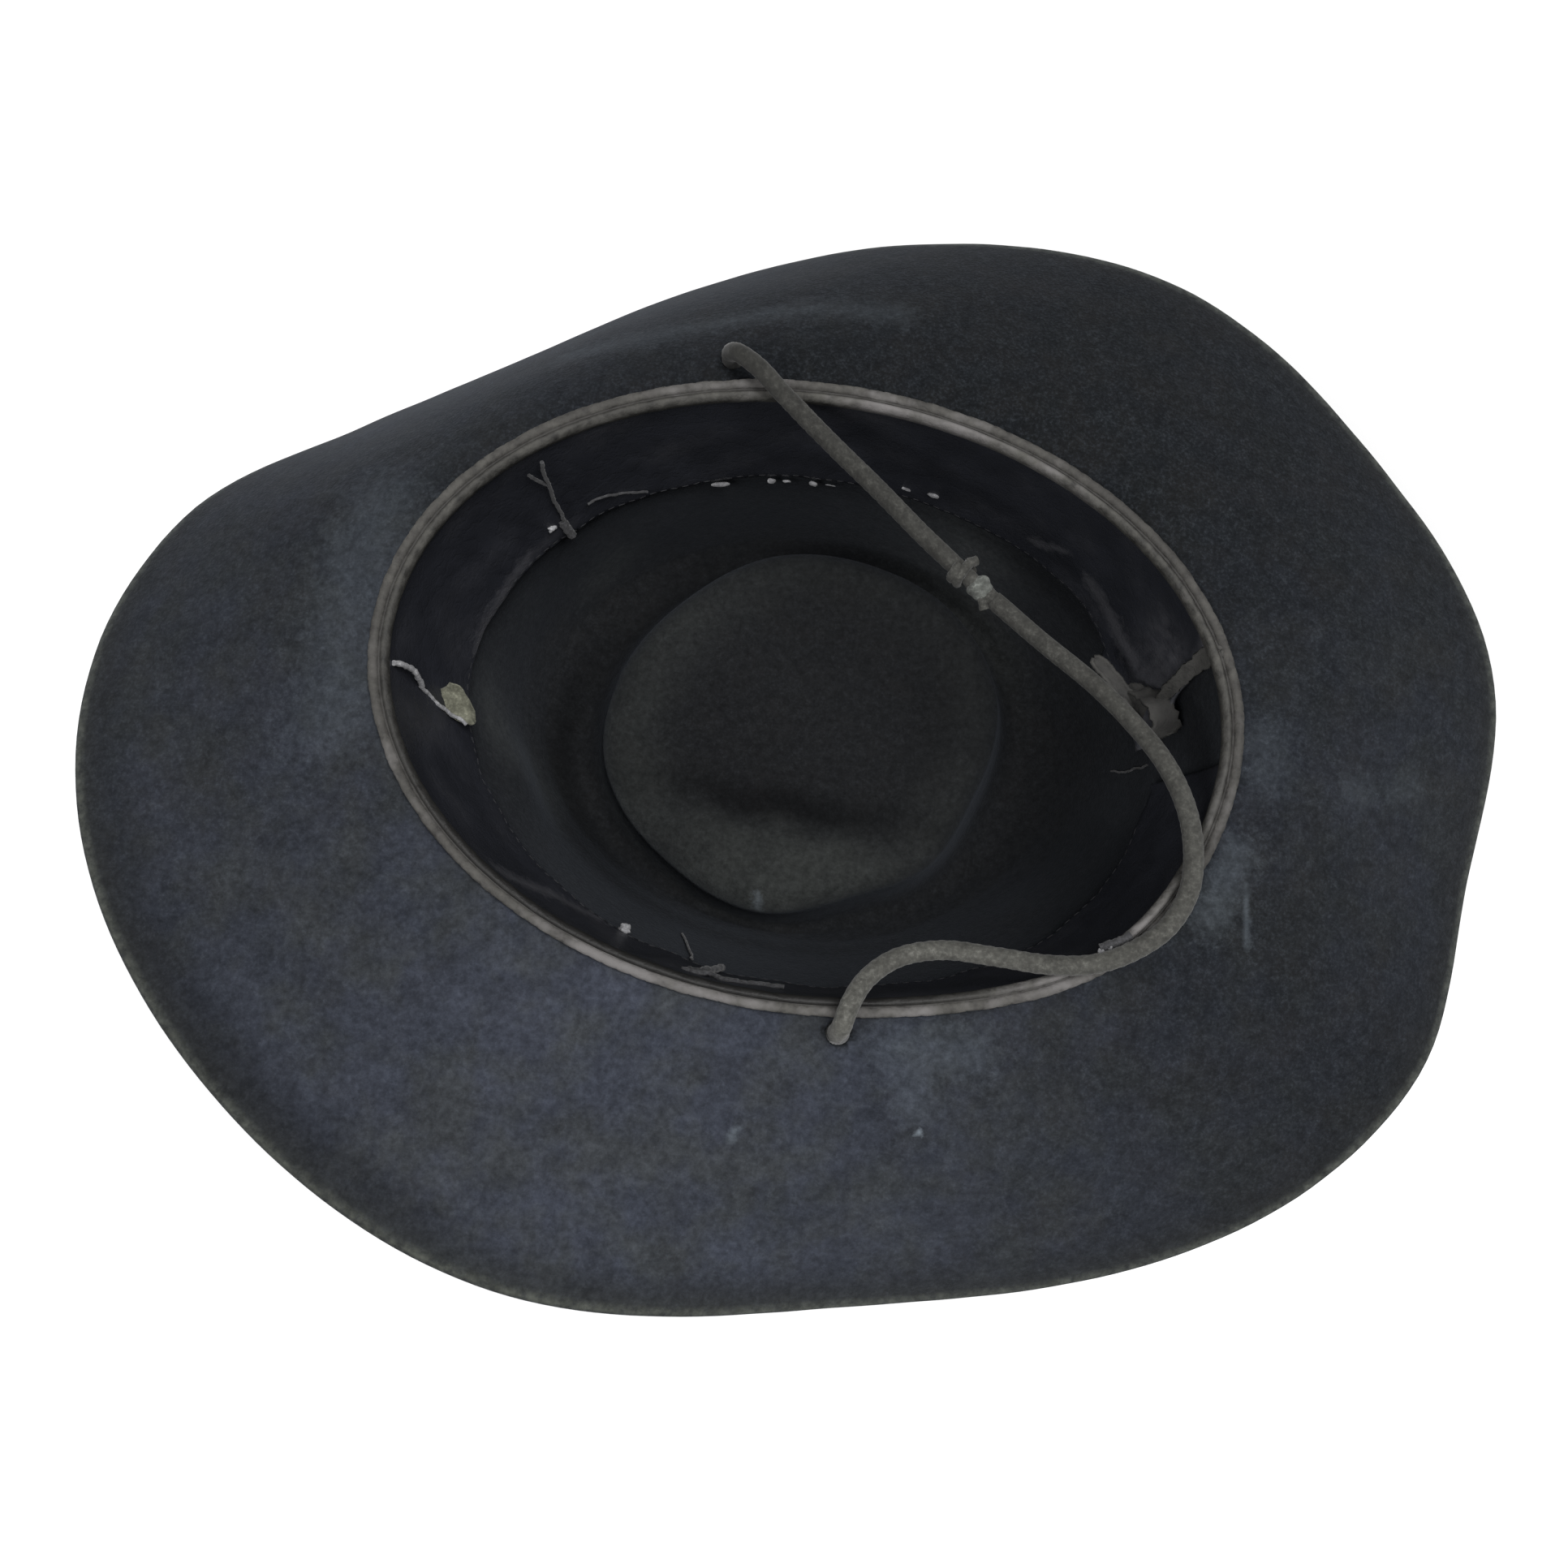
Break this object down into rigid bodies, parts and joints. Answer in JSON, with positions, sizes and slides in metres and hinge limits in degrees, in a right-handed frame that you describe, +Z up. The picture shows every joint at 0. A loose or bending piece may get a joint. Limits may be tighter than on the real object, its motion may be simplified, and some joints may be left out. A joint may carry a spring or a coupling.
{
  "type": "wide-brim felt hat",
  "caption": "Old black wide-brim felt hat lying on its crown with the opening up, with a torn leather sweatband and a knotted chin cord.",
  "frame": {"origin": "centre of the hat's outline on the surface that it rests on", "axes": "+Z up, out of the head opening, because the hat lies on its crown; -X towards the front of the head opening and +X towards the back, along the long axis of the opening; Y across the head"},
  "size_m": [0.3578, 0.2946, 0.1199],
  "materials": {
    "felt": "matte fur felt with a worn nap",
    "reed": "worn leather bead",
    "band_leather": "aged black leather, half gloss",
    "cord": "faded round cord"
  },
  "bodies": {
    "root": {"felt_body": "felt", "sweatband_reed": "reed", "sweatband": "band_leather", "chin_cord_far": "cord", "chin_cord_near": "cord", "crown_cord": "cord", "chin_knot": "cord"}
  },
  "joints": []
}
